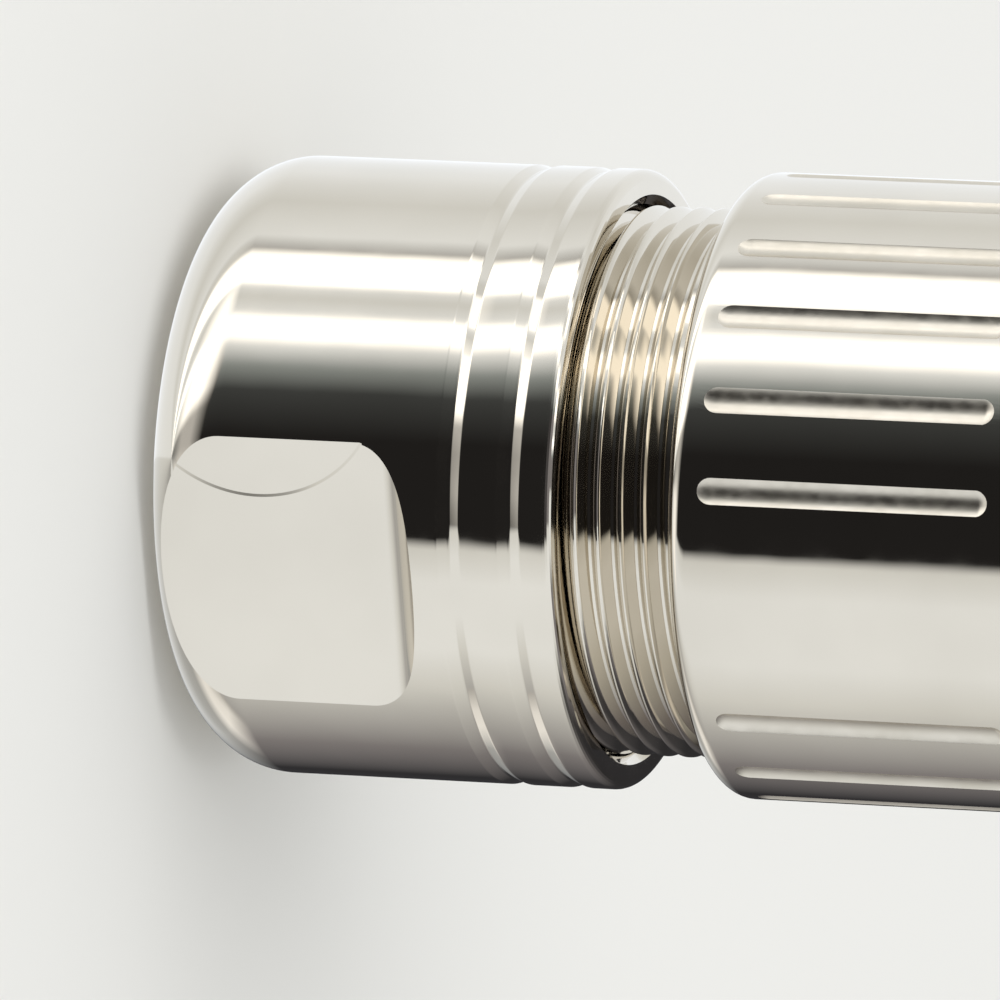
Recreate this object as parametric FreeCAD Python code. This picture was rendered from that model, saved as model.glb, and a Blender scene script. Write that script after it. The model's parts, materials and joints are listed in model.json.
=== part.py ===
# Circular cable plug with a screwed coupling nut, a fluted body and a rear clamping nut for the cable.
# It stands on the rear face of its clamping nut, with the plug's axis along +Z and the mating end up.
# Units are millimetres. Threads are drawn as plain cylinders on their major diameter.
import FreeCAD
import Part
import os

# Connector size: the diameter of the rear thread and of the coupling thread.
# Every other radius follows from it through the walls, steps and clearances below.
thread_d = 23.0
thread_clear = 0.05
thread_lead = 0.4

# Clamping nut, which closes the rear on the cable
cap_wall = 1.5
cap_len = 18.3
cap_round = 3.8
cap_rim_round = 0.5
cap_floor = 2.6
cap_floor_reach = 3.0
cable_hole_lead = 0.6
flat_depth = 1.4
flat_len = 12.65
flat_root_round = 3.0
cap_turn_deg = -2.4
cap_thread_under_flat = 1.05
ring_groove_first = 13.8
ring_groove_step = 2.6
ring_groove_width = 1.0
ring_groove_depth = 0.2

# Travel of the clamping nut on the rear thread
thread_shown = 4.8
tighten_travel = 3.0
end_clear = 0.2

# Body shell with its fluted grip
grip_wall = 1.6
grip_rear_round = 0.9
grip_front_round = 0.6
spigot_wall = 1.4
chamber_step = 1.1
web_step = 0.8
web_len = 1.5
flute_cutter_d = 2.0
flute_depth = 0.18
flute_end_margin = 1.0
flutes_per_side = 9
flute_pitch_deg = 16.6
key_width = 2.0
key_depth = 0.4

# Gland stack inside the clamping nut
gland_clear = 0.1
washer_len = 0.8
washer_wall = 2.8
seal_wall = 3.95
seal_len = 9.5
seal_lead = 0.6
finger_wall = 1.2
finger_count = 12
finger_slot = 1.2
finger_slot_margin = 0.8
finger_tip_gap = 0.4
finger_tip_bevel = 0.7
cage_base_len = 3.0
cage_wall = 4.0
cage_skirt_len = 2.0
cage_skirt_wall = 1.0
braid_wall = 3.3
braid_rim_len = 0.9
cone_run = 1.6
shield_ring_len = 2.3
shield_ring_wall = 3.8
shield_cone_len = 1.4

# Contacts and the two halves of their insulator
spacer_wall = 0.9
spacer_len = 6.2
insert_rear_len = 3.8
insert_flange_len = 1.6
insert_edge = 0.3
insert_clear = 0.1
contact_clear = 0.05
pin_d = 1.0
pin_tip_round = 0.35
pin_recess = 0.8
pin_shown = 6.1
collar_d = 2.4
collar_len = 0.9
barrel_d = 2.0
barrel_shown = 3.6
wire_bore_d = 1.2
wire_bore_len = 4.0
outer_ring_count = 9
outer_ring_inset = 2.0
inner_ring_count = 3
inner_ring_share = 0.42

# Front sleeve, which holds the insulator and carries the coupling nut
sleeve_spigot_len = 7.2
sleeve_step = 2.0
sleeve_wall = 0.8
sleeve_clear = 0.05
flange_inset = 0.5
flange_len = 1.5
nose_step = 0.05
nose_wall = 1.35
nose_len = 11.4
nose_edge = 0.5
rib_width = 1.6
rib_height = 0.8

# Coupling nut, free to turn on the sleeve
nut_len = 18.3
nut_lip_len = 1.6
nut_gap = 0.3
nut_play = 0.2
nut_running_clear = 0.07
nut_relief_depth = 0.5
nut_relief_len = 3.3
nut_edge_round = 0.8
nut_flute_count = 24
nut_flute_margin = 3.2

# Sealing rings
nose_ring_d = 1.6
nose_ring_seat = 0.25
damping_ring_d = 0.72
sleeve_ring_d = 0.8
sleeve_ring_sink = 0.3
ring_squeeze_room = 0.03
ring_groove_room = 0.04
ring_seat_room = 0.02

# Stations along the axis, from the rear face
z_washer = cap_floor
z_seal = z_washer + washer_len
z_cage_base = z_seal + seal_len
z_skirt = z_cage_base + cage_base_len
z_cage_front = z_skirt + cage_skirt_len
z_cap_thread = flat_len - cap_thread_under_flat
z_spigot = z_cap_thread + tighten_travel + end_clear
z_shoulder = cap_len + thread_shown
z_shield_ring = z_cage_front + tighten_travel + end_clear
z_web = z_shield_ring + shield_ring_len
z_chamber = z_web + web_len
z_insert = z_chamber + spacer_len
z_split = z_insert + insert_rear_len
z_step = z_split + insert_flange_len
z_grip_end = z_insert + sleeve_spigot_len
z_nut = z_grip_end + nut_gap
z_lip = z_nut + nut_lip_len
z_flange = z_lip + nut_play
z_nose = z_flange + flange_len
z_nose_end = z_nose + nose_len
z_pin_tip = z_nose_end - pin_recess
z_insert_face = z_pin_tip - pin_shown
z_nut_end = z_nut + nut_len

# Radii that several pieces share
thread_r = thread_d / 2
inner_thread_r = thread_r + thread_clear
cap_r = thread_r + cap_wall
grip_r = thread_r + grip_wall
gland_bore_r = thread_r - spigot_wall
gland_r = gland_bore_r - gland_clear
finger_r = gland_r - finger_wall
sleeve_r = thread_r - sleeve_step
chamber_r = sleeve_r - chamber_step
flange_bore_r = sleeve_r - sleeve_wall
insert_flange_r = flange_bore_r - insert_clear
nose_r = sleeve_r - nose_step
nose_bore_r = nose_r - nose_wall
insert_r = nose_bore_r - insert_clear
outer_ring_r = insert_r - outer_ring_inset
inner_ring_r = outer_ring_r * inner_ring_share
origin = FreeCAD.Vector(0, 0, 0)
up = FreeCAD.Vector(0, 0, 1)


def turned(*corners):
    """A solid of revolution about the plug's axis, from its half section as (radius, height) corners."""
    points = [FreeCAD.Vector(r, 0, z) for r, z in corners]
    outline = Part.makePolygon(points + points[:1])
    return Part.Face(outline).revolve(origin, up, 360)


def round_ring_edge(solid, radius, at_radius, at_height):
    """Round the circular edge of that radius at that height."""
    chosen = [
        edge
        for edge in solid.Edges
        if isinstance(edge.Curve, Part.Circle)
        and abs(edge.Curve.Radius - at_radius) < 1e-6
        and abs(edge.Curve.Center.z - at_height) < 1e-6
    ]
    return solid.makeFillet(radius, chosen)


def spun(shape, count, first_deg=0.0, step_deg=None):
    """Copies of a shape in a row around the plug's axis."""
    step = 360 / count if step_deg is None else step_deg
    copies = []
    for i in range(count):
        copy = shape.copy()
        copy.rotate(origin, up, first_deg + i * step)
        copies.append(copy)
    return copies


def column(radius, x, z_low, z_high):
    """An upright round bar beside the plug's axis."""
    return Part.makeCylinder(radius, z_high - z_low, FreeCAD.Vector(x, 0, z_low), up)


def flute_cutter(grip_radius, z_low, z_high):
    """A ball-ended cutter that leaves one shallow round groove along the grip."""
    r = flute_cutter_d / 2
    x = grip_radius - flute_depth + r
    low = z_low + r
    high = z_high - r
    ends = [Part.makeSphere(r, FreeCAD.Vector(x, 0, z)) for z in (low, high)]
    return column(r, x, low, high).multiFuse(ends)


def block_out(width, inner, outer, z_low, z_high):
    """A radial block along +X, centred on it, for keys, key slots and finger slots."""
    corner = FreeCAD.Vector(inner, -width / 2, z_low)
    return Part.makeBox(outer - inner, width, z_high - z_low, corner)


def contact_places():
    """(distance from the axis, angle) of each contact; the inner ring stands between outer ones."""
    outer_step = 360 / outer_ring_count
    inner_step = 360 / inner_ring_count
    outer = [(outer_ring_r, outer_step * i) for i in range(outer_ring_count)]
    inner = [(inner_ring_r, outer_step / 2 + inner_step * i) for i in range(inner_ring_count)]
    return outer + inner


def at_contact(shape, place):
    """A shape that is drawn on the axis, moved to one contact's place."""
    distance, angle = place
    moved = shape.copy()
    moved.translate(FreeCAD.Vector(distance, 0, 0))
    moved.rotate(origin, up, angle)
    return moved


def wrench_flat_cutters():
    """Two blocks that mill the flats; their rounded corner leaves the long hollow at the flat's end."""
    reach = 2 * cap_r
    half = cap_r - flat_depth
    block = Part.makeBox(2 * reach, reach, reach + flat_len, FreeCAD.Vector(-reach, half, -reach))
    corner = [
        edge
        for edge in block.Edges
        if all(abs(v.Y - half) < 1e-6 and abs(v.Z - flat_len) < 1e-6 for v in edge.Vertexes)
    ]
    return spun(block.makeFillet(flat_root_round, corner), 2, cap_turn_deg)


def clamping_nut():
    hole_r = gland_r - cap_floor_reach
    room_r = gland_r + 2 * gland_clear
    nut = turned(
        (hole_r + cable_hole_lead, 0),
        (cap_r, 0),
        (cap_r, cap_len),
        (inner_thread_r + thread_lead, cap_len),
        (inner_thread_r, cap_len - thread_lead),
        (inner_thread_r, z_cap_thread),
        (room_r, z_cap_thread),
        (room_r, cap_floor),
        (hole_r, cap_floor),
        (hole_r, cable_hole_lead),
    )
    nut = round_ring_edge(nut, cap_round, cap_r, 0)
    nut = round_ring_edge(nut, cap_rim_round, cap_r, cap_len)
    for i in range(2):
        z = ring_groove_first + i * ring_groove_step
        over = cap_r + ring_groove_depth
        groove = turned(
            (cap_r - ring_groove_depth, z),
            (over, z - ring_groove_width),
            (over, z + ring_groove_width),
        )
        nut = nut.cut(groove)
    return nut.cut(wrench_flat_cutters())


def body_shell():
    groove_r = sleeve_r + sleeve_ring_d + ring_groove_room
    sleeve_bore_r = sleeve_r + sleeve_clear
    web_bore_r = chamber_r - web_step
    z_ring_seat = z_grip_end - sleeve_ring_d - sleeve_ring_sink
    shell = turned(
        (gland_bore_r, z_spigot),
        (thread_r - thread_lead, z_spigot),
        (thread_r, z_spigot + thread_lead),
        (thread_r, z_shoulder),
        (grip_r, z_shoulder),
        (grip_r, z_grip_end),
        (groove_r, z_grip_end),
        (groove_r, z_ring_seat),
        (sleeve_bore_r, z_ring_seat),
        (sleeve_bore_r, z_insert),
        (chamber_r, z_insert),
        (chamber_r, z_chamber),
        (web_bore_r, z_chamber),
        (web_bore_r, z_web),
        (gland_bore_r, z_web),
    )
    shell = round_ring_edge(shell, grip_rear_round, grip_r, z_shoulder)
    shell = round_ring_edge(shell, grip_front_round, grip_r, z_grip_end)
    cutter = flute_cutter(grip_r, z_shoulder + flute_end_margin, z_grip_end - flute_end_margin)
    first = -flute_pitch_deg * (flutes_per_side - 1) / 2
    flutes = []
    for side in (0, 180):
        flutes += spun(cutter, flutes_per_side, side + first, flute_pitch_deg)
    slot = block_out(
        key_width + 2 * gland_clear,
        0,
        gland_bore_r + key_depth,
        z_spigot - thread_lead,
        z_shield_ring,
    )
    slot = slot.cut(column(gland_bore_r - key_depth, 0, z_spigot - 1, z_web))
    return shell.cut(flutes + spun(slot, 2))


def thrust_washer():
    bore_r = gland_r - washer_wall
    return turned(
        (bore_r, z_washer),
        (gland_r, z_washer),
        (gland_r, z_seal),
        (bore_r, z_seal),
    )


def cable_seal():
    outer_r = finger_r - gland_clear
    bore_r = outer_r - seal_wall
    return turned(
        (bore_r + seal_lead, z_seal),
        (outer_r, z_seal),
        (outer_r, z_cage_base),
        (bore_r + seal_lead, z_cage_base),
        (bore_r, z_cage_base - seal_lead),
        (bore_r, z_seal + seal_lead),
    )


def seal_cage():
    bore_r = gland_r - cage_wall
    z_tip = z_seal + finger_tip_gap
    cage = turned(
        (finger_r, z_tip),
        (gland_r - finger_tip_bevel, z_tip),
        (gland_r, z_tip + finger_tip_bevel),
        (gland_r, z_cage_front),
        (gland_r - cage_skirt_wall, z_cage_front),
        (gland_r - cage_skirt_wall, z_skirt),
        (bore_r, z_skirt),
        (bore_r, z_cage_base),
        (finger_r, z_cage_base),
    )
    slot = block_out(finger_slot, bore_r, gland_r + 1, z_tip - 1, z_cage_base - finger_slot_margin)
    cage = cage.cut(spun(slot, finger_count, 180 / finger_count))
    key = block_out(key_width, gland_r - cage_skirt_wall / 2, gland_r + key_depth, z_skirt, z_cage_front)
    return cage.fuse(spun(key, 2)).removeSplitter()


def braid_ring():
    outer_r = gland_r - cage_skirt_wall - gland_clear
    bore_r = outer_r - braid_wall
    return turned(
        (bore_r, z_skirt),
        (outer_r, z_skirt),
        (outer_r, z_skirt + braid_rim_len),
        (outer_r - cone_run, z_cage_front),
        (bore_r, z_cage_front),
    )


def shield_ring():
    bore_r = gland_r - shield_ring_wall
    cone_r = gland_r - cage_skirt_wall
    return turned(
        (bore_r, z_web),
        (gland_r, z_web),
        (gland_r, z_shield_ring),
        (cone_r, z_shield_ring),
        (cone_r - cone_run, z_shield_ring + shield_cone_len),
        (bore_r, z_shield_ring + shield_cone_len),
    )


def spacer_sleeve():
    outer_r = chamber_r - insert_clear
    return turned(
        (outer_r - spacer_wall, z_chamber),
        (outer_r, z_chamber),
        (outer_r, z_insert),
        (outer_r - spacer_wall, z_insert),
    )


def insert_rear():
    disc = column(insert_flange_r, 0, z_insert, z_split)
    hole = column(barrel_d / 2 + contact_clear, 0, z_insert, z_split)
    return disc.cut([at_contact(hole, place) for place in contact_places()])


def insert_front():
    core = turned(
        (0, z_split),
        (insert_flange_r, z_split),
        (insert_flange_r, z_step),
        (insert_r, z_step),
        (insert_r, z_insert_face - insert_edge),
        (insert_r - insert_edge, z_insert_face),
        (0, z_insert_face),
    )
    seat_r = collar_d / 2 + contact_clear
    hole_r = pin_d / 2 + contact_clear
    z_seat = z_split + collar_len + 2 * contact_clear
    hole = turned(
        (0, z_split),
        (seat_r, z_split),
        (seat_r, z_seat),
        (hole_r, z_seat),
        (hole_r, z_insert_face),
        (0, z_insert_face),
    )
    return core.cut([at_contact(hole, place) for place in contact_places()])


def contact():
    """One turned contact on the axis: wire barrel, collar and pin."""
    z_collar = z_split + contact_clear
    z_barrel = z_insert - barrel_shown
    z_pin = z_collar + collar_len
    pin = turned(
        (0, z_barrel + wire_bore_len),
        (wire_bore_d / 2, z_barrel + wire_bore_len),
        (wire_bore_d / 2, z_barrel),
        (barrel_d / 2, z_barrel),
        (barrel_d / 2, z_collar),
        (collar_d / 2, z_collar),
        (collar_d / 2, z_pin),
        (pin_d / 2, z_pin),
        (pin_d / 2, z_pin_tip),
        (0, z_pin_tip),
    )
    return round_ring_edge(pin, pin_tip_round, pin_d / 2, z_pin_tip)


def front_sleeve():
    groove_half = damping_ring_d / 2 + ring_groove_room
    groove_r = sleeve_r - damping_ring_d + ring_seat_room
    z_groove = (z_nut + z_lip) / 2
    flange_r = thread_r - flange_inset
    sleeve = turned(
        (flange_bore_r, z_insert),
        (sleeve_r, z_insert),
        (sleeve_r, z_groove - groove_half),
        (groove_r, z_groove - groove_half),
        (groove_r, z_groove + groove_half),
        (sleeve_r, z_groove + groove_half),
        (sleeve_r, z_flange),
        (flange_r, z_flange),
        (flange_r, z_nose),
        (nose_r - nose_ring_seat, z_nose),
        (nose_r - nose_ring_seat, z_nose + nose_ring_d + ring_groove_room),
        (nose_r, z_nose + nose_ring_d + ring_groove_room),
        (nose_r, z_nose_end - nose_edge),
        (nose_r - nose_edge, z_nose_end),
        (nose_bore_r, z_nose_end),
        (nose_bore_r, z_step),
        (flange_bore_r, z_step),
    )
    wall_middle = (nose_bore_r + nose_r) / 2
    rib = block_out(rib_width, nose_bore_r - rib_height, wall_middle, z_insert_face, z_nose_end - nose_edge)
    rib.rotate(origin, up, 90)
    return sleeve.fuse(rib).removeSplitter()


def coupling_nut():
    lip_r = sleeve_r + nut_running_clear
    relief_r = thread_r + nut_relief_depth
    z_relief_end = z_lip + nut_relief_len
    nut = turned(
        (lip_r, z_nut),
        (grip_r, z_nut),
        (grip_r, z_nut_end),
        (inner_thread_r + thread_lead, z_nut_end),
        (inner_thread_r, z_nut_end - thread_lead),
        (inner_thread_r, z_relief_end + relief_r - inner_thread_r),
        (relief_r, z_relief_end),
        (relief_r, z_lip),
        (lip_r, z_lip),
    )
    nut = round_ring_edge(nut, nut_edge_round, grip_r, z_nut)
    nut = round_ring_edge(nut, nut_edge_round, grip_r, z_nut_end)
    cutter = flute_cutter(grip_r, z_nut + nut_flute_margin, z_nut_end - nut_flute_margin)
    return nut.cut(spun(cutter, nut_flute_count))


def sealing_ring(inner_radius, section_d, z_middle):
    return Part.makeTorus(inner_radius + section_d / 2, section_d / 2, FreeCAD.Vector(0, 0, z_middle), up)


def nose_ring():
    inner = nose_r - nose_ring_seat + ring_seat_room
    return sealing_ring(inner, nose_ring_d, z_nose + nose_ring_d / 2 + ring_seat_room)


def damping_ring():
    inner = sleeve_r - damping_ring_d + ring_squeeze_room
    return sealing_ring(inner, damping_ring_d, (z_nut + z_lip) / 2)


def sleeve_ring():
    z_middle = z_grip_end - sleeve_ring_sink - sleeve_ring_d / 2 + ring_seat_room
    return sealing_ring(sleeve_r + ring_seat_room, sleeve_ring_d, z_middle)


pieces = {
    "clamping_nut": clamping_nut(),
    "thrust_washer": thrust_washer(),
    "cable_seal": cable_seal(),
    "seal_cage": seal_cage(),
    "braid_ring": braid_ring(),
    "shield_clamp_ring": shield_ring(),
    "body_shell": body_shell(),
    "spacer_sleeve": spacer_sleeve(),
    "insert_rear": insert_rear(),
    "insert_front": insert_front(),
    "front_sleeve": front_sleeve(),
    "nose_o_ring": nose_ring(),
    "nut_damping_ring": damping_ring(),
    "sleeve_o_ring": sleeve_ring(),
    "coupling_nut": coupling_nut(),
}
one_contact = contact()
for number, place in enumerate(contact_places(), 1):
    pieces[f"contact_pin_{number:02d}"] = at_contact(one_contact, place)

os.makedirs("parts", exist_ok=True)
for name, shape in pieces.items():
    shape.exportStep(f"parts/{name}.step")
    print(name, len(shape.Solids), shape.isValid(), round(shape.Volume, 2))
print("overall length", round(z_nut_end, 2))
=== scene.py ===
# %% [markdown]
# # Circular cable plug with a mirror finish
#
# The real plug is turned from brass bar and plated with bright nickel. A mirror finish has hardly any
# colour of its own: what the eye reads is the room around it. So two things matter here. The turned
# pieces need enough sides, and true rounds, that a reflection runs over them without a kink. And the
# studio needs light and dark strips in the right places.
#
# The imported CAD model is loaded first, as a frame that never moves. All of the plug's sizes below are
# in millimetres, and one function turns them into Blender's metres.

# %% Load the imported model
import json
import math

import bpy
from mathutils import Matrix, Vector


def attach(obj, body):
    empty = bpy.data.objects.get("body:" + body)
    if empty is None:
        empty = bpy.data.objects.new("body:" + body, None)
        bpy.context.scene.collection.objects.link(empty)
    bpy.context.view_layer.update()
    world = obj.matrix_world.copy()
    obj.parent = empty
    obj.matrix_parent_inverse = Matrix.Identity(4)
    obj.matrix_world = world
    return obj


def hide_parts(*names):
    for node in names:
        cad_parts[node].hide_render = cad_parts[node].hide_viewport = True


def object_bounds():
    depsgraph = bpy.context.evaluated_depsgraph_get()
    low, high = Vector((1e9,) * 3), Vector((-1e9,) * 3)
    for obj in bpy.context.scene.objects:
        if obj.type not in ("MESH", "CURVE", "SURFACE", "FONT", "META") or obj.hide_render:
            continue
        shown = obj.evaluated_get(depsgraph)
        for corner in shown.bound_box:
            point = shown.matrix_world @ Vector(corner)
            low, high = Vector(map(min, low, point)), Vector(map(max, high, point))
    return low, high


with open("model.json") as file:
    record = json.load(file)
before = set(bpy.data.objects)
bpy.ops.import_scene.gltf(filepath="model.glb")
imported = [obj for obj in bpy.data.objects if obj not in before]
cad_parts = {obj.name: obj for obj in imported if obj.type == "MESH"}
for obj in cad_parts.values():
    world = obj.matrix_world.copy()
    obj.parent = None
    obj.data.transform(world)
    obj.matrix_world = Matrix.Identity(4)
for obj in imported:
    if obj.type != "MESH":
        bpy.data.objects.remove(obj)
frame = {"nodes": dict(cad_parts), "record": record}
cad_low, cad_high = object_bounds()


def mm(value):
    """Millimetres to metres."""
    return value / 1000


print("height of the plug, mm:", round((cad_high.z - cad_low.z) * 1000, 1))

# %% [markdown]
# ## The camera
#
# The photograph was taken from far away through a long lens, so the plug's sides stay parallel. The
# camera stands to the side of the plug, 17 degrees towards the mating end, and is rolled on its side,
# so that the standing plug lies across the picture. Its three axes are worked out from those angles
# and written as one matrix, which is exact and needs no aiming constraint.

# %% Place the camera
CAMERA_AZIMUTH = math.radians(-115.2)
CAMERA_ELEVATION = math.radians(17.0)
CAMERA_ROLL = math.radians(2.72)
CAMERA_DISTANCE = 0.7
NEAREST_SEEN = 0.05
FARTHEST_SEEN = 20
PICTURE_WIDTH_MM = 41.96
SENSOR_MM = 36.0
AIM_HEIGHT_MM = 12.07
AIM_DROP_MM = 1.13

to_camera = Vector((
    math.cos(CAMERA_ELEVATION) * math.cos(CAMERA_AZIMUTH),
    math.cos(CAMERA_ELEVATION) * math.sin(CAMERA_AZIMUTH),
    math.sin(CAMERA_ELEVATION),
))
along_plug = (Vector((0, 0, 1)) - to_camera * to_camera.z).normalized()
across_plug = to_camera.cross(along_plug)
picture_right = along_plug * math.cos(CAMERA_ROLL) + across_plug * math.sin(CAMERA_ROLL)
picture_up = to_camera.cross(picture_right)
aim = Vector((0, 0, mm(AIM_HEIGHT_MM))) - picture_up * mm(AIM_DROP_MM)

camera_data = bpy.data.cameras.new("photo_camera")
camera_data.sensor_width = SENSOR_MM
camera_data.lens = SENSOR_MM * CAMERA_DISTANCE / mm(PICTURE_WIDTH_MM)
camera_data.clip_start = NEAREST_SEEN
camera_data.clip_end = FARTHEST_SEEN
camera = bpy.data.objects.new("photo_camera", camera_data)
bpy.context.scene.collection.objects.link(camera)
turn = Matrix((picture_right, picture_up, to_camera)).transposed()
camera.matrix_world = Matrix.Translation(aim + to_camera * CAMERA_DISTANCE) @ turn.to_4x4()
bpy.context.scene.camera = camera
print("lens, mm:", round(camera_data.lens))

# %% [markdown]
# ## Colours and nodes
#
# Colours are easiest to read as the hex codes of a paint program, but Blender calculates in linear
# light, so one function converts them. A second small function adds a shader node with its settings
# and links, which keeps each material short enough to read.

# %% Helpers for colours and nodes


def linear(code):
    """An sRGB hex colour as linear red, green, blue and alpha."""
    channels = [int(code[i:i + 2], 16) / 255 for i in (1, 3, 5)]
    return [c / 12.92 if c <= 0.04045 else ((c + 0.055) / 1.055) ** 2.4 for c in channels] + [1.0]


def add_node(tree, kind, inputs=None, **settings):
    """Add a node; an input is either a plain value or the output socket of another node."""
    made = tree.nodes.new(kind)
    for name, value in settings.items():
        setattr(made, name, value)
    for name, value in (inputs or {}).items():
        if isinstance(value, bpy.types.NodeSocket):
            tree.links.new(value, made.inputs[name])
        else:
            made.inputs[name].default_value = value
    return made


def set_stops(ramp_node, stops):
    """Fill a colour ramp from (position, linear colour) pairs in rising order."""
    elements = ramp_node.color_ramp.elements
    while len(elements) > 1:
        elements.remove(elements[-1])
    elements[0].position, elements[0].color = stops[0]
    for position, colour in stops[1:]:
        elements.new(position).color = colour


print("white is", linear("#ffffff"))

# %% [markdown]
# ## The studio
#
# A bright nickel cylinder shows the room as bands along its length: each place on it mirrors one
# direction round the plug. So the room is a world texture that depends on the direction round the
# plug's axis. It has two white strip lights, pale walls, one dark gap where the camera stood, and a
# dark corner behind the underside. The angles are measured from the camera's side, positive towards
# the top of the picture. The ramp's colours are what the metal shows, divided by the metal's own.

# %% Walls with strip lights
METAL = "#d4cdc0"
ROOM_GAIN = 2.2
STRIP = "#ffffff"
BRIGHT_WALL = "#dcd9d0"
PALE_WALL = "#cbc7bc"
GREY_WALL = "#aba79e"
DULL_WALL = "#76706c"
DARK_CORNER = "#2a2827"
DARK_GAP = "#1e1c1a"
GAP_EDGE = "#3a3a37"
GAP_FADE = "#84867f"
WHITE = (1, 1, 1, 1)
BLACK = (0, 0, 0, 1)
room_round_plug = [
    (-180, DARK_CORNER), (-158, DARK_CORNER), (-127, DULL_WALL), (-104, GREY_WALL), (-87, PALE_WALL),
    (-70, BRIGHT_WALL), (-42, BRIGHT_WALL), (-29, PALE_WALL), (-25.5, DARK_GAP), (10, DARK_GAP),
    (27, GAP_EDGE), (36, GAP_FADE), (44, BRIGHT_WALL), (48, STRIP), (55, STRIP), (58, BRIGHT_WALL),
    (64, PALE_WALL), (68.5, BRIGHT_WALL), (70.5, STRIP), (83.5, STRIP), (87, GREY_WALL), (94, BRIGHT_WALL),
    (115, PALE_WALL), (140, BRIGHT_WALL), (180, BRIGHT_WALL),
]


def ramp_place(angle):
    """A direction round the plug, in degrees, as a place on a colour ramp."""
    return (angle + 180) / 360


def room_colour(code):
    """What the room has to send out so that the metal shows this colour."""
    if code == STRIP:
        return WHITE
    seen, metal = linear(code), linear(METAL)
    return [min(1.0, s / m / ROOM_GAIN) for s, m in zip(seen[:3], metal[:3])] + [1]


world = bpy.data.worlds.new("studio")
bpy.context.scene.world = world
world.use_nodes = True
tree = world.node_tree
tree.nodes.clear()
direction = add_node(tree, "ShaderNodeTexCoord").outputs["Generated"]
turned = add_node(tree, "ShaderNodeVectorRotate", {"Vector": direction, "Angle": -CAMERA_AZIMUTH},
                  rotation_type="Z_AXIS")
parts = add_node(tree, "ShaderNodeSeparateXYZ", {"Vector": turned.outputs[0]})
round_plug = add_node(tree, "ShaderNodeMath", {0: parts.outputs["Y"], 1: parts.outputs["X"]},
                      operation="ARCTAN2")
share = add_node(tree, "ShaderNodeMapRange", {
    "Value": round_plug.outputs[0], "From Min": math.pi, "From Max": -math.pi, "To Min": 0.0, "To Max": 1.0})
walls = add_node(tree, "ShaderNodeValToRGB", {"Fac": share.outputs[0]})
set_stops(walls, [(ramp_place(angle), room_colour(code)) for angle, code in room_round_plug])
print("surfaces round the plug:", len(room_round_plug))

# %% [markdown]
# Towards the mating end, the room under the plug gets darker. The flanks of the thread look there, and
# so the thread is darker on its underside than the smooth cap beside it. A steepness of 1 would be
# straight along the axis. The Mix node for colours has its two colours on the sockets 6 and 7 and its
# result on output 2.

# %% The dark corner under the plug
MIX_A, MIX_B, MIX_RESULT = 6, 7, 2
CORNER_STARTS = 0.2
CORNER_FULL = 0.5
CORNER_MOST = 0.9
UNDERSIDE_FULL = -98
UNDERSIDE_ENDS = -82
steep = add_node(tree, "ShaderNodeMapRange", {
    "Value": parts.outputs["Z"], "From Min": CORNER_STARTS, "From Max": CORNER_FULL,
    "To Min": 0.0, "To Max": CORNER_MOST})
underside = add_node(tree, "ShaderNodeValToRGB", {"Fac": share.outputs[0]})
set_stops(underside, [
    (0.0, WHITE), (ramp_place(UNDERSIDE_FULL), WHITE), (ramp_place(UNDERSIDE_ENDS), BLACK)])
corner_amount = add_node(tree, "ShaderNodeMath", {0: steep.outputs[0], 1: underside.outputs[0]},
                         operation="MULTIPLY")
walls_and_corner = add_node(tree, "ShaderNodeMix", {
    "Factor": corner_amount.outputs[0], MIX_A: walls.outputs[0], MIX_B: room_colour(DARK_CORNER)},
    data_type="RGBA")
print("the corner sends out", [round(v, 3) for v in room_colour(DARK_CORNER)[:3]])

# %% [markdown]
# The rounded rear end and the walls of the grooves look elsewhere, down past the end of the plug. A
# white table stands there, behind an edge that runs askew, and a shadow lies across it. How far a
# direction lies past the edge is its dot product with the table's side. The table starts only 18
# degrees below level, because the smooth cylinders mirror what lies 17 degrees below it, and they
# would turn white.

# %% The white table past the rear end
TABLE_SIDE = (-0.697, -0.467, -0.544)
TABLE_EDGE = -0.1
TABLE_STARTS = -0.31
TABLE_FULL = -0.5
table_from_edge = [(TABLE_EDGE, BLACK), (0.15, room_colour(STRIP)), (0.35, room_colour(STRIP)),
                   (0.5, room_colour(PALE_WALL)), (1.0, room_colour(PALE_WALL))]
shadow_round_plug = [(-180, 1.0), (-150, 0.6), (-118, 0.5), (-98, 0.1), (-85, 0.2), (-60, 0.65), (-12, 0.65),
                     (0, 0.4), (8, 0.3), (22, 0.3), (30, 1.0)]
table_side = add_node(tree, "ShaderNodeVectorMath", {0: turned.outputs[0], 1: TABLE_SIDE},
                      operation="DOT_PRODUCT")
table_share = add_node(tree, "ShaderNodeMapRange", {
    "Value": table_side.outputs["Value"], "From Min": TABLE_EDGE, "From Max": 1.0,
    "To Min": 0.0, "To Max": 1.0})
table = add_node(tree, "ShaderNodeValToRGB", {"Fac": table_share.outputs[0]})
set_stops(table, [((past - TABLE_EDGE) / (1.0 - TABLE_EDGE), colour) for past, colour in table_from_edge])
shadow = add_node(tree, "ShaderNodeValToRGB", {"Fac": share.outputs[0]})
set_stops(shadow, [(ramp_place(angle), (left, left, left, 1)) for angle, left in shadow_round_plug])
shaded_table = add_node(tree, "ShaderNodeMix", {
    "Factor": 1.0, MIX_A: table.outputs[0], MIX_B: shadow.outputs[0]},
    data_type="RGBA", blend_type="MULTIPLY")
low_down = add_node(tree, "ShaderNodeMapRange", {
    "Value": parts.outputs["Z"], "From Min": TABLE_STARTS, "From Max": TABLE_FULL,
    "To Min": 0.0, "To Max": 1.0})
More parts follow.
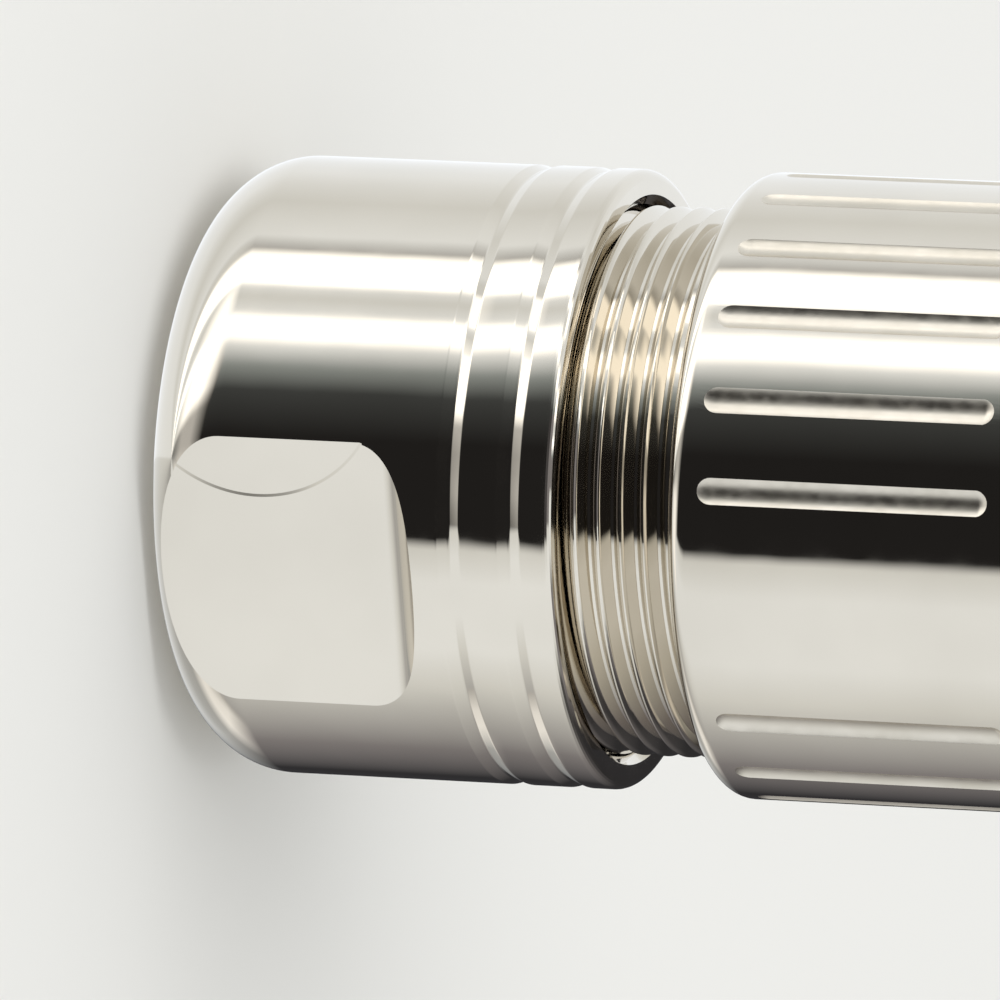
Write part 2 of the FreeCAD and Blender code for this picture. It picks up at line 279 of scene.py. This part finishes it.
lower_room = add_node(tree, "ShaderNodeMix", {
    "Factor": low_down.outputs[0], MIX_A: walls_and_corner.outputs[MIX_RESULT],
    MIX_B: shaded_table.outputs[MIX_RESULT]}, data_type="RGBA", blend_type="LIGHTEN")
print("stops across the table:", len(table_from_edge), "and in its shadow:", len(shadow_round_plug))

# %% [markdown]
# Past the mating end, the room isn't darker than a dull wall, so that the faces that look that way
# never turn black. The angle is the height above level, and 90 degrees is straight along the axis.

# %% The far wall past the mating end
FAR_WALL_STARTS = 35
FAR_WALL_FULL = 50
height = add_node(tree, "ShaderNodeMath", {0: parts.outputs["Z"]}, operation="ARCSINE")
high_share = add_node(tree, "ShaderNodeMapRange", {
    "Value": height.outputs[0], "From Min": 0.0, "From Max": math.pi / 2, "To Min": 0.0, "To Max": 1.0})
far_wall = add_node(tree, "ShaderNodeValToRGB", {"Fac": high_share.outputs[0]})
set_stops(far_wall, [
    (FAR_WALL_STARTS / 90, BLACK), (FAR_WALL_FULL / 90, room_colour(DULL_WALL)),
    (1.0, room_colour(DULL_WALL))])
room = add_node(tree, "ShaderNodeMix", {
    "Factor": 1.0, MIX_A: lower_room.outputs[MIX_RESULT], MIX_B: far_wall.outputs[0]},
    data_type="RGBA", blend_type="LIGHTEN")
print("the far wall is full at", FAR_WALL_FULL, "degrees")

# %% [markdown]
# Only mirror images see this room. What the camera sees directly, and what lights matt surfaces, is
# plain pale grey. The Light Path node tells the two apart. The Standard view shows the colours as they
# are, where the default would soften the strips.

# %% The room for mirror images and plain light for the rest
PLAIN_LIGHT = 0.95
rays = add_node(tree, "ShaderNodeLightPath")
mirrored = add_node(tree, "ShaderNodeBackground", {"Color": room.outputs[MIX_RESULT], "Strength": ROOM_GAIN})
plain = add_node(tree, "ShaderNodeBackground", {"Color": linear("#f1f1ef"), "Strength": PLAIN_LIGHT})
chosen = add_node(tree, "ShaderNodeMixShader", {
    0: rays.outputs["Is Glossy Ray"], 1: plain.outputs[0], 2: mirrored.outputs[0]})
add_node(tree, "ShaderNodeOutputWorld", {"Surface": chosen.outputs[0]})
bpy.context.scene.view_settings.view_transform = "Standard"
print("view:", bpy.context.scene.view_settings.view_transform)

# %% [markdown]
# ## Floor and soft light
#
# The plug stands on its rear face, as the CAD frame has it, on a plain pale floor. One large soft
# light from above gives it a faint shadow. The floor and the light stay out of the mirror images,
# because in the photograph nothing of the kind shows in the metal.

# %% Floor and light
FLOOR_SIZE = 6.0
FLOOR_GAP_MM = 0.02
LIGHT_SIZE = 0.6
LIGHT_POWER = 2.4
LIGHT_ASIDE = 0.25
LIGHT_HEIGHT = 0.75

bpy.ops.object.select_all(action="DESELECT")
bpy.ops.mesh.primitive_plane_add(size=FLOOR_SIZE, location=(0, 0, cad_low.z - mm(FLOOR_GAP_MM)))
floor = bpy.context.object
floor.name = "studio_floor"
floor_paint = bpy.data.materials.new("pale_paint")
floor_paint.use_nodes = True
floor_shader = floor_paint.node_tree.nodes["Principled BSDF"]
floor_shader.inputs["Base Color"].default_value = linear("#e9e9e7")
floor_shader.inputs["Roughness"].default_value = 0.9
floor_shader.inputs["Specular IOR Level"].default_value = 0.1
floor.data.materials.append(floor_paint)
floor.visible_glossy = False

soft_data = bpy.data.lights.new("soft_box", "AREA")
soft_data.size = LIGHT_SIZE
soft_data.energy = LIGHT_POWER
soft_light = bpy.data.objects.new("soft_box", soft_data)
bpy.context.scene.collection.objects.link(soft_light)
soft_light.location = to_camera * LIGHT_ASIDE + picture_up * LIGHT_ASIDE + Vector((0, 0, LIGHT_HEIGHT))
soft_light.rotation_euler = soft_light.location.to_track_quat("Z", "Y").to_euler()
soft_light.visible_glossy = False
print("floor at", round(floor.location.z * 1000, 3), "mm")

# %% [markdown]
# ## Bright nickel
#
# Bright nickel plate is a metal, so its colour is in the reflection and the shader is fully metallic.
# It is slightly warm. Buffing leaves it almost mirror-smooth, with a very faint unevenness about two
# millimetres wide, and handling leaves patches nearly as wide that only change the gloss. Both come
# from noise in Object coordinates, with scales worked out from real sizes. The buff doesn't reach into
# the flutes, so they keep the duller finish that the milling cutter left under the plating. The sleeve
# and the rings inside are turned and plated but not buffed, which gives them a satin sheen.

# %% Three finishes of nickel


def noise_scale(size_mm):
    """The scale of a noise texture whose features are about this size."""
    return 1000 / size_mm


def new_material(name, colour, metallic, roughness):
    """A principled material and its node tree."""
    material = bpy.data.materials.new(name)
    material.use_nodes = True
    shader = material.node_tree.nodes["Principled BSDF"]
    shader.inputs["Base Color"].default_value = linear(colour)
    shader.inputs["Metallic"].default_value = metallic
    shader.inputs["Roughness"].default_value = roughness
    return material, material.node_tree, shader


def vary(tree, shader, socket, place, size_mm, low, high):
    """Let a noise of a real size move one number of the shader between two values."""
    noise = add_node(tree, "ShaderNodeTexNoise", {
        "Vector": place, "Scale": noise_scale(size_mm), "Detail": 2.0})
    spread = add_node(tree, "ShaderNodeMapRange", {
        "Value": noise.outputs["Fac"], "From Min": 0.3, "From Max": 0.7, "To Min": low, "To Max": high})
    tree.links.new(spread.outputs[0], shader.inputs[socket])


def tint(tree, shader, place, size_mm, first, second):
    """Let the colour drift between two near tones, as a real surface does."""
    noise = add_node(tree, "ShaderNodeTexNoise", {
        "Vector": place, "Scale": noise_scale(size_mm), "Detail": 3.0})
    tones = add_node(tree, "ShaderNodeValToRGB", {"Fac": noise.outputs["Fac"]})
    set_stops(tones, [(0.35, linear(first)), (0.65, linear(second))])
    tree.links.new(tones.outputs[0], shader.inputs["Base Color"])


def bump(tree, shader, height_socket, depth_mm):
    """Turn a 0 to 1 height into a bump of a real depth."""
    made = add_node(tree, "ShaderNodeBump", {
        "Height": height_socket, "Distance": mm(depth_mm), "Strength": 1.0})
    tree.links.new(made.outputs[0], shader.inputs["Normal"])


mirror_nickel, tree, shader = new_material("bright_nickel_plate", METAL, metallic=1.0, roughness=0.05)
place = add_node(tree, "ShaderNodeTexCoord").outputs["Object"]
tint(tree, shader, place, size_mm=9.0, first="#d1cabd", second="#d7d0c3")
vary(tree, shader, "Roughness", place, size_mm=1.6, low=0.035, high=0.085)
unevenness = add_node(tree, "ShaderNodeTexNoise", {
    "Vector": place, "Scale": noise_scale(2.2), "Detail": 1.0})
bump(tree, shader, unevenness.outputs["Fac"], depth_mm=0.004)

milled_nickel, tree, shader = new_material("milled_nickel_plate", METAL, metallic=1.0, roughness=0.36)
place = add_node(tree, "ShaderNodeTexCoord").outputs["Object"]
tint(tree, shader, place, size_mm=3.0, first="#cfc8ba", second="#d8d1c4")
vary(tree, shader, "Roughness", place, size_mm=0.5, low=0.31, high=0.42)

satin_nickel, tree, shader = new_material("satin_nickel_plate", "#cfcabf", metallic=1.0, roughness=0.22)
place = add_node(tree, "ShaderNodeTexCoord").outputs["Object"]
tint(tree, shader, place, size_mm=6.0, first="#cbc5b9", second="#d3cec4")
vary(tree, shader, "Roughness", place, size_mm=0.8, low=0.18, high=0.30)
print("nickel ready")

# %% [markdown]
# ## Turning a piece
#
# Nearly every piece of the plug is turned. In Blender that is a circle whose edge is pulled along the
# outline of the half section: extrude, move and scale about the axis, ring by ring, until it meets
# its start. Rounds are bevels of a ring of edges, picked by radius and height. A count of 360 sides
# keeps the mirror image smooth.

# %% Helpers for turned pieces
SIDES = 360
SAME_PLACE = 5e-6
MERGE_DISTANCE = 1e-6


def only(piece):
    """Deselect everything, then select this piece and make it active."""
    if bpy.context.object and bpy.context.object.mode != "OBJECT":
        bpy.ops.object.mode_set(mode="OBJECT")
    bpy.ops.object.select_all(action="DESELECT")
    piece.select_set(True)
    bpy.context.view_layer.objects.active = piece


def lathe(name, section):
    """Pull a ring along a half section of (radius, height) points in millimetres, back to its start."""
    bpy.ops.object.select_all(action="DESELECT")
    radius, height = section[0]
    bpy.ops.mesh.primitive_circle_add(vertices=SIDES, radius=mm(radius), location=(0, 0, mm(height)))
    piece = bpy.context.object
    piece.name = name
    bpy.ops.object.transform_apply(location=True)
    bpy.ops.object.mode_set(mode="EDIT")
    bpy.ops.mesh.select_mode(type="EDGE")
    bpy.ops.mesh.select_all(action="SELECT")
    for next_radius, next_height in section[1:] + section[:1]:
        bpy.ops.mesh.extrude_edges_move(TRANSFORM_OT_translate={"value": (0, 0, mm(next_height - height))})
        scale = next_radius / radius
        bpy.ops.transform.resize(value=(scale, scale, 1), center_override=(0, 0, mm(next_height)))
        radius, height = next_radius, next_height
    bpy.ops.mesh.select_all(action="SELECT")
    bpy.ops.mesh.remove_doubles(threshold=MERGE_DISTANCE)
    bpy.ops.mesh.normals_make_consistent(inside=False)
    bpy.ops.object.mode_set(mode="OBJECT")
    return piece


def pick_ring(piece, radius, height):
    """Select the ring of edges at that radius and height."""
    only(piece)
    mesh = piece.data
    for part in (mesh.vertices, mesh.edges, mesh.polygons):
        part.foreach_set("select", [False] * len(part))
    is_on_ring = [
        abs(math.hypot(v.co.x, v.co.y) - mm(radius)) < SAME_PLACE and abs(v.co.z - mm(height)) < SAME_PLACE
        for v in mesh.vertices
    ]
    found = 0
    for edge in mesh.edges:
        if is_on_ring[edge.vertices[0]] and is_on_ring[edge.vertices[1]]:
            edge.select = True
            found += 1
    return found


def round_ring(piece, radius, height, size, segments):
    """Round one ring of edges."""
    found = pick_ring(piece, radius, height)
    bpy.ops.object.mode_set(mode="EDIT")
    bpy.ops.mesh.select_mode(type="EDGE")
    bpy.ops.mesh.bevel(offset=mm(size), segments=segments, profile=0.5, affect="EDGES", clamp_overlap=False)
    bpy.ops.object.mode_set(mode="OBJECT")
    return found


def cut(piece, cutter, surface=None):
    """Take the cutter's shape out of the piece; the cut can have a surface of its own."""
    only(piece)
    modifier = piece.modifiers.new("cut", "BOOLEAN")
    modifier.operation = "DIFFERENCE"
    modifier.solver = "EXACT"
    modifier.object = cutter
    if surface:
        cutter.data.materials.append(surface)
        modifier.material_mode = "TRANSFER"
    bpy.ops.object.modifier_apply(modifier=modifier.name)
    bpy.data.objects.remove(cutter)


def finish_metal(piece, angle=30):
    """Smooth shading that keeps the sharp edges, with large faces counting most."""
    only(piece)
    bpy.ops.object.shade_smooth_by_angle(angle=math.radians(angle))
    modifier = piece.modifiers.new("even", "WEIGHTED_NORMAL")
    modifier.keep_sharp = True
    bpy.ops.object.modifier_apply(modifier=modifier.name)


def triangles(piece):
    """How many triangles a piece has."""
    return sum(len(face.vertices) - 2 for face in piece.data.polygons)


print("one full ring has", SIDES, "sides")

# %% [markdown]
# ## The clamping nut
#
# The rear nut is turned first: a generous round at the cable end, two V-shaped ring grooves and a
# narrow rounded rim, hollow inside for the seal and its cage. Then two wrench flats are milled. The
# cutter has a rounded corner, and that leaves the long hollow at the end of each flat. A boolean with a
# bevelled block is the same operation as the milling. Where the end mill was lowered, its rim left a
# faint arc on the flat, a fiftieth of a millimetre deep. The arc's rim slopes by only 9.5 degrees, so
# the shading stays crisp from 9 degrees on, or the rim would blur into the flat.

# %% Clamping nut
CAP_R = 13.0
CAP_LEN = 18.3
GROOVE_DEPTH = 0.2
GROOVE_HALF = 0.5
GROOVE_MIDDLES = (13.8, 16.4)
GROOVE_BOTTOM_ROUND = 0.1
GROOVE_EDGE_ROUND = 0.05
CAP_ROUND = 3.8
CAP_RIM_ROUND = 0.5
FLAT_HALF = 11.6
FLAT_LEN = 12.65
FLAT_ROOT = 3.0
FLAT_TURN = math.radians(-2.4)
MILL_LONG, MILL_THICK, MILL_TALL = 40, 10, 20
ARC_ACROSS = 8.9
ARC_UP = 5.3
ARC_R = 5.5
ARC_SLOPE = 0.12
ARC_DEPTH = 0.02
ARC_CUTTER_OVER = 0.5
FLAT_MIN_AREA = mm(8) ** 2
CRISP_ANGLE = 9

cap_section = [(7.6, 0), (CAP_R, 0)]
for middle in GROOVE_MIDDLES:
    cap_section += [
        (CAP_R, middle - GROOVE_HALF), (CAP_R - GROOVE_DEPTH, middle), (CAP_R, middle + GROOVE_HALF)]
cap_section += [(CAP_R, CAP_LEN), (11.95, CAP_LEN), (11.55, 17.9), (11.55, 11.6), (10.2, 11.6), (10.2, 2.6),
                (7.0, 2.6), (7.0, 0.6)]
clamping_nut = lathe("clamping_nut_turned", cap_section)
clamping_nut.data.materials.append(mirror_nickel)
rounded = round_ring(clamping_nut, CAP_R, 0, CAP_ROUND, segments=30)
round_ring(clamping_nut, CAP_R, CAP_LEN, CAP_RIM_ROUND, segments=8)
for middle in GROOVE_MIDDLES:
    round_ring(clamping_nut, CAP_R - GROOVE_DEPTH, middle, GROOVE_BOTTOM_ROUND, segments=4)
    for side in (-1, 1):
        round_ring(clamping_nut, CAP_R, middle + side * GROOVE_HALF, GROOVE_EDGE_ROUND, segments=3)


def flat_cutter(turn):
    """A block with one rounded edge, which mills one wrench flat."""
    bpy.ops.object.select_all(action="DESELECT")
    middle = (0, mm(FLAT_HALF + MILL_THICK / 2), mm(FLAT_LEN - MILL_TALL / 2))
    bpy.ops.mesh.primitive_cube_add(size=1, location=middle)
    block = bpy.context.object
    block.scale = (mm(MILL_LONG), mm(MILL_THICK), mm(MILL_TALL))
    bpy.ops.object.transform_apply(location=True, scale=True)
    for edge in block.data.edges:
        ends = [block.data.vertices[i].co for i in edge.vertices]
        edge.select = all(
            abs(p.y - mm(FLAT_HALF)) < MERGE_DISTANCE and abs(p.z - mm(FLAT_LEN)) < MERGE_DISTANCE
            for p in ends)
    for part in (block.data.vertices, block.data.polygons):
        part.foreach_set("select", [False] * len(part))
    bpy.ops.object.mode_set(mode="EDIT")
    bpy.ops.mesh.select_mode(type="EDGE")
    bpy.ops.mesh.bevel(offset=mm(FLAT_ROOT), segments=28, profile=0.5, affect="EDGES")
    bpy.ops.mesh.select_all(action="SELECT")
    bpy.ops.transform.rotate(value=turn, orient_axis="Z", center_override=(0, 0, 0))
    bpy.ops.object.mode_set(mode="OBJECT")
    return block


def arc_cutter(turn):
    """A disc with a sloping rim, which leaves the end mill's faint arc on one flat."""
    bpy.ops.object.select_all(action="DESELECT")
    bpy.ops.mesh.primitive_circle_add(
        vertices=256, radius=mm(ARC_R), fill_type="NGON", rotation=(math.pi / 2, 0, 0),
        location=(mm(ARC_ACROSS), mm(FLAT_HALF - ARC_DEPTH), mm(ARC_UP)))
    disc = bpy.context.object
    bpy.ops.object.transform_apply(location=True, rotation=True)
    bpy.ops.object.mode_set(mode="EDIT")
    bpy.ops.mesh.select_all(action="SELECT")
    wider = (ARC_R + ARC_SLOPE) / ARC_R
    bpy.ops.mesh.extrude_region_move(TRANSFORM_OT_translate={"value": (0, mm(ARC_DEPTH), 0)})
    bpy.ops.transform.resize(
        value=(wider, 1, wider), center_override=(mm(ARC_ACROSS), mm(FLAT_HALF), mm(ARC_UP)))
    bpy.ops.mesh.extrude_region_move(TRANSFORM_OT_translate={"value": (0, mm(ARC_CUTTER_OVER), 0)})
    bpy.ops.mesh.select_all(action="SELECT")
    bpy.ops.mesh.normals_make_consistent(inside=False)
    bpy.ops.transform.rotate(value=turn, orient_axis="Z", center_override=(0, 0, 0))
    bpy.ops.object.mode_set(mode="OBJECT")
    return disc


for turn_by in (-FLAT_TURN, math.pi - FLAT_TURN):
    cut(clamping_nut, flat_cutter(turn_by))
    cut(clamping_nut, arc_cutter(turn_by))
flat_faces = [f for f in clamping_nut.data.polygons if f.area > FLAT_MIN_AREA and abs(f.normal.z) < 0.01]
flat_angles = [round(math.degrees(math.atan2(f.normal.y, f.normal.x)), 1) for f in flat_faces]
print("flat normals, degrees:", flat_angles)
finish_metal(clamping_nut, CRISP_ANGLE)
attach(clamping_nut, "rear_nut")
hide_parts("clamping_nut")
print("clamping nut:", rounded, "edges rounded,", triangles(clamping_nut), "triangles")

# %% [markdown]
# ## A cutter for flutes
#
# The shallow grooves of the grip are milled with a ball-ended cutter, and what it takes away is a
# capsule: here a ball whose upper half is pulled up to the flute's length. One capsule is modelled,
# and its copies are set round the axis and joined, so that one boolean cuts the whole row.

# %% Flutes
FLUTE_CUTTER_R = 1.0
FLUTE_DEPTH = 0.18


def flute_cutters(grip_radius, low, high, angles):
    """Capsules at those angles round the axis, joined into one cutter."""
    bpy.ops.object.select_all(action="DESELECT")
    x = grip_radius - FLUTE_DEPTH + FLUTE_CUTTER_R
    bpy.ops.mesh.primitive_uv_sphere_add(segments=48, ring_count=24, radius=mm(FLUTE_CUTTER_R),
                                         location=(mm(x), 0, mm(low + FLUTE_CUTTER_R)))
    first = bpy.context.object
    bpy.ops.object.transform_apply(location=True)
    for vertex in first.data.vertices:
        vertex.select = vertex.co.z > mm(low + FLUTE_CUTTER_R) + 1e-6
    for part in (first.data.edges, first.data.polygons):
        part.foreach_set("select", [False] * len(part))
    bpy.ops.object.mode_set(mode="EDIT")
    bpy.ops.mesh.select_mode(type="VERT")
    bpy.ops.transform.translate(value=(0, 0, mm(high - low - 2 * FLUTE_CUTTER_R)))
    bpy.ops.object.mode_set(mode="OBJECT")
    copies = []
    for angle in angles:
        copy = first.copy()
        copy.data = first.data.copy()
        copy.rotation_euler = (0, 0, math.radians(angle))
        bpy.context.scene.collection.objects.link(copy)
        copies.append(copy)
    bpy.data.objects.remove(first)
    only(copies[0])
    for copy in copies:
        copy.select_set(True)
    bpy.ops.object.transform_apply(rotation=True)
    bpy.ops.object.join()
    return bpy.context.object


flute_half_width = math.sqrt(FLUTE_CUTTER_R ** 2 - (FLUTE_CUTTER_R - FLUTE_DEPTH) ** 2)
print("flute width at the surface, mm:", round(2 * flute_half_width, 2))

# %% [markdown]
# ## A cutter for threads
#
# The rear thread is right-handed with 1 mm pitch and 60 degree flanks. On a lathe a pointed tool cuts
# it into the plain blank, and here it is the same: the tool's trapezoid section is swept along a helix
# by the Screw modifier, its two ends are closed, and the result is cut from the blank. The tool widens
# near the surface, because plating and buffing leave the crests of a real thread rounded. The outline
# starts as a sliver of a plane, whose edge is then extruded and widened from corner to corner.

# %% Thread cutter
PITCH = 1.0
SLIVER = 0.001
COIL_STEPS = 120
TOOL = [(0.0, 0.06), (0.46, 0.33), (0.54, 0.40), (0.60, 0.47), (0.70, 0.49)]


def thread_cutter(tip_radius, outwards, start_height, turns):
    """The groove of a thread as a closed coil; TOOL gives its half width at each distance from the tip."""
    bpy.ops.object.select_all(action="DESELECT")
    bpy.ops.mesh.primitive_plane_add(size=1, location=(mm(tip_radius), 0, mm(start_height)),
                                     rotation=(math.pi / 2, 0, 0))
    coil = bpy.context.object
    coil.scale = (mm(SLIVER), mm(2 * TOOL[0][1]), 1)
    bpy.ops.object.transform_apply(location=True, rotation=True, scale=True)
    for vertex in coil.data.vertices:
        vertex.select = (vertex.co.x > mm(tip_radius)) == (outwards > 0)
    for part in (coil.data.edges, coil.data.polygons):
        part.foreach_set("select", [False] * len(part))
    bpy.ops.object.mode_set(mode="EDIT")
    bpy.ops.mesh.select_mode(type="VERT")
    for (near, narrow), (far, wide) in zip(TOOL, TOOL[1:]):
        bpy.ops.mesh.extrude_region_move(TRANSFORM_OT_translate={"value": (outwards * mm(far - near), 0, 0)})
        bpy.ops.transform.resize(value=(1, 1, wide / narrow), center_override=(0, 0, mm(start_height)))
    bpy.ops.mesh.select_all(action="SELECT")
    bpy.ops.mesh.dissolve_faces()
    bpy.ops.mesh.select_all(action="SELECT")
    bpy.ops.mesh.delete(type="ONLY_FACE")
    bpy.ops.object.mode_set(mode="OBJECT")
    screw = coil.modifiers.new("helix", "SCREW")
    screw.axis = "Z"
    screw.angle = math.tau
    screw.screw_offset = mm(PITCH)
    screw.iterations = turns
    screw.steps = COIL_STEPS
    screw.render_steps = COIL_STEPS
    screw.use_merge_vertices = False
    bpy.ops.object.modifier_apply(modifier=screw.name)
    bpy.ops.object.mode_set(mode="EDIT")
    bpy.ops.mesh.select_all(action="SELECT")
    bpy.ops.mesh.remove_doubles(threshold=MERGE_DISTANCE)
    bpy.ops.mesh.fill_holes(sides=0)
    bpy.ops.mesh.normals_make_consistent(inside=False)
    bpy.ops.object.mode_set(mode="OBJECT")
    print("tool outline:", len(TOOL) * 2, "corners; coil:", len(coil.data.polygons), "faces")
    return coil


print("crest left between two turns, mm:", round(PITCH - 2 * TOOL[3][1], 2))

# %% [markdown]
# ## The body shell
#
# The body is the long middle piece: a threaded spigot for the clamping nut at the rear, a shoulder
# with a small round, and the grip, which has nine shallow flutes on each side and a plain panel
# between them on the camera's side and on the far side. It is hollow in steps for the gland, the
# wires and the front sleeve, and two key slots inside keep the seal's cage from turning.

# %% Body shell
GRIP_R = 13.1
SHOULDER = 23.1
GRIP_END = 38.3
SHOULDER_ROUND = 0.9
GRIP_END_ROUND = 0.6
THREAD_ROOT_R = 10.9
THREAD_START = 13.57
THREAD_TURNS = 9
FLUTE_STEP_DEG = 16.6
FLUTE_LOW = 24.1
FLUTE_HIGH = 37.3
SLOT_R = 10.1
SLOT_MIDDLE = 17.75
SLOT_DEEP, SLOT_WIDE, SLOT_LONG = 0.8, 2.2, 6.7
body_shell = lathe("body_shell_turned", [
    (10.1, 14.8), (11.1, 14.8), (11.5, 15.2), (11.5, SHOULDER), (GRIP_R, SHOULDER), (GRIP_R, 26),
    (GRIP_R, 30.7), (GRIP_R, 35.4), (GRIP_R, GRIP_END), (10.34, GRIP_END), (10.34, 37.2), (9.55, 37.2),
    (9.55, 31.1), (8.4, 31.1), (8.4, 24.9), (7.6, 24.9), (7.6, 23.4), (10.1, 23.4)])
body_shell.data.materials.append(mirror_nickel)
round_ring(body_shell, GRIP_R, SHOULDER, SHOULDER_ROUND, segments=10)
round_ring(body_shell, GRIP_R, GRIP_END, GRIP_END_ROUND, segments=8)
cut(body_shell, thread_cutter(THREAD_ROOT_R, 1, THREAD_START, THREAD_TURNS))
flute_angles = [side + (i - 4) * FLUTE_STEP_DEG for side in (0, 180) for i in range(9)]
cut(body_shell, flute_cutters(GRIP_R, FLUTE_LOW, FLUTE_HIGH, flute_angles), milled_nickel)


def key_slot(side):
    """A block that widens the gland bore on one side, where a key of the cage slides."""
    bpy.ops.object.select_all(action="DESELECT")
    bpy.ops.mesh.primitive_cube_add(size=1, location=(side * mm(SLOT_R), 0, mm(SLOT_MIDDLE)))
    block = bpy.context.object
    block.scale = (mm(SLOT_DEEP), mm(SLOT_WIDE), mm(SLOT_LONG))
    bpy.ops.object.transform_apply(location=True, scale=True)
    return block


for side in (1, -1):
    cut(body_shell, key_slot(side))
finish_metal(body_shell)
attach(body_shell, "plug_body")
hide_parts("body_shell")
print("body shell:", triangles(body_shell), "triangles")

# %% [markdown]
# ## The coupling nut
#
# The nut that screws onto the receptacle turns freely on the front sleeve. It has 24 flutes all
# round, rounded ends, a thin lip at the rear that holds it, and an internal thread at the mouth, cut
# with the same kind of coil, only with the point outwards.

# %% Coupling nut
NUT_LOW = 38.6
NUT_HIGH = 56.9
NUT_ROUND = 0.8
NUT_FLUTE_MARGIN = 3.2
NUT_FLUTES = 24
NUT_THREAD_ROOT_R = 11.55
NUT_THREAD_START = 43.2
NUT_THREAD_TURNS = 14
coupling_nut = lathe("coupling_nut_turned", [
    (9.57, NUT_LOW), (GRIP_R, NUT_LOW), (GRIP_R, 44), (GRIP_R, 47.75), (GRIP_R, 51.5), (GRIP_R, NUT_HIGH),
    (11.95, NUT_HIGH), (10.96, 55.91), (10.96, 44.54), (12.0, 43.5), (12.0, 40.2), (9.57, 40.2)])
coupling_nut.data.materials.append(mirror_nickel)
round_ring(coupling_nut, GRIP_R, NUT_LOW, NUT_ROUND, segments=10)
round_ring(coupling_nut, GRIP_R, NUT_HIGH, NUT_ROUND, segments=10)
cut(coupling_nut, thread_cutter(NUT_THREAD_ROOT_R, -1, NUT_THREAD_START, NUT_THREAD_TURNS))
nut_angles = [360 / NUT_FLUTES * i for i in range(NUT_FLUTES)]
nut_flutes = flute_cutters(GRIP_R, NUT_LOW + NUT_FLUTE_MARGIN, NUT_HIGH - NUT_FLUTE_MARGIN, nut_angles)
cut(coupling_nut, nut_flutes, milled_nickel)
finish_metal(coupling_nut)
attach(coupling_nut, "front_nut")
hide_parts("coupling_nut")
print("coupling nut:", triangles(coupling_nut), "triangles")

# %% [markdown]
# ## Finishes of the inner pieces
#
# Inside, the plug is plain engineering: a glass-filled polyester insulator, gold-plated contacts,
# black nitrile seals, a grey nylon cage and a white acetal washer. Hard gold is warm and a little
# satin, the glass fibres roughen the skin of the polyester, nitrile is almost black and dull, nylon
# has a waxy sheen, and turned acetal is creamy white. The grain of the fibres and of the rubber is
# finer than the render can show, so it is drawn 0.15 to 0.2 mm wide. These pieces keep the CAD solid,
# whose shape is already right.

# %% Materials of the inner pieces
gold, tree, shader = new_material("hard_gold_plate", "#e6c27a", metallic=1.0, roughness=0.2)
place = add_node(tree, "ShaderNodeTexCoord").outputs["Object"]
tint(tree, shader, place, size_mm=0.8, first="#e2bc70", second="#ebca88")
vary(tree, shader, "Roughness", place, size_mm=0.5, low=0.16, high=0.26)

moulding, tree, shader = new_material("glass_filled_polyester", "#1d1d1f", metallic=0.0, roughness=0.45)
place = add_node(tree, "ShaderNodeTexCoord").outputs["Object"]
tint(tree, shader, place, size_mm=0.7, first="#1a1a1c", second="#242426")
vary(tree, shader, "Roughness", place, size_mm=0.3, low=0.38, high=0.55)
grain = add_node(tree, "ShaderNodeTexNoise", {"Vector": place, "Scale": noise_scale(0.15), "Detail": 2.0})
bump(tree, shader, grain.outputs["Fac"], depth_mm=0.01)

nitrile, tree, shader = new_material("black_nitrile_rubber", "#161616", metallic=0.0, roughness=0.6)
place = add_node(tree, "ShaderNodeTexCoord").outputs["Object"]
tint(tree, shader, place, size_mm=1.2, first="#141414", second="#1e1e1d")
vary(tree, shader, "Roughness", place, size_mm=0.6, low=0.5, high=0.72)
grain = add_node(tree, "ShaderNodeTexNoise", {"Vector": place, "Scale": noise_scale(0.2), "Detail": 3.0})
bump(tree, shader, grain.outputs["Fac"], depth_mm=0.015)

nylon, tree, shader = new_material("moulded_nylon", "#3d3e40", metallic=0.0, roughness=0.42)
place = add_node(tree, "ShaderNodeTexCoord").outputs["Object"]
tint(tree, shader, place, size_mm=1.0, first="#393a3c", second="#434446")
vary(tree, shader, "Roughness", place, size_mm=0.5, low=0.36, high=0.5)

acetal, tree, shader = new_material("turned_acetal", "#e6e3da", metallic=0.0, roughness=0.35)
place = add_node(tree, "ShaderNodeTexCoord").outputs["Object"]
tint(tree, shader, place, size_mm=1.5, first="#e2dfd6", second="#ebe9e1")
vary(tree, shader, "Roughness", place, size_mm=0.6, low=0.3, high=0.42)

finish_of_slot = {
    "nickel_satin": satin_nickel,
    "gold_contacts": gold,
    "insulator": moulding,
    "seal_rubber": nitrile,
    "cage_nylon": nylon,
    "washer_acetal": acetal,
}
dressed = 0
for part in frame["record"]["subparts"]:
    finish = finish_of_slot.get(part["material_slot"])
    if finish is None:
        continue
    node = frame["nodes"][part["node"]]
    for slot in node.material_slots:
        slot.material = finish
    dressed += 1
print("CAD pieces with a new finish:", dressed)
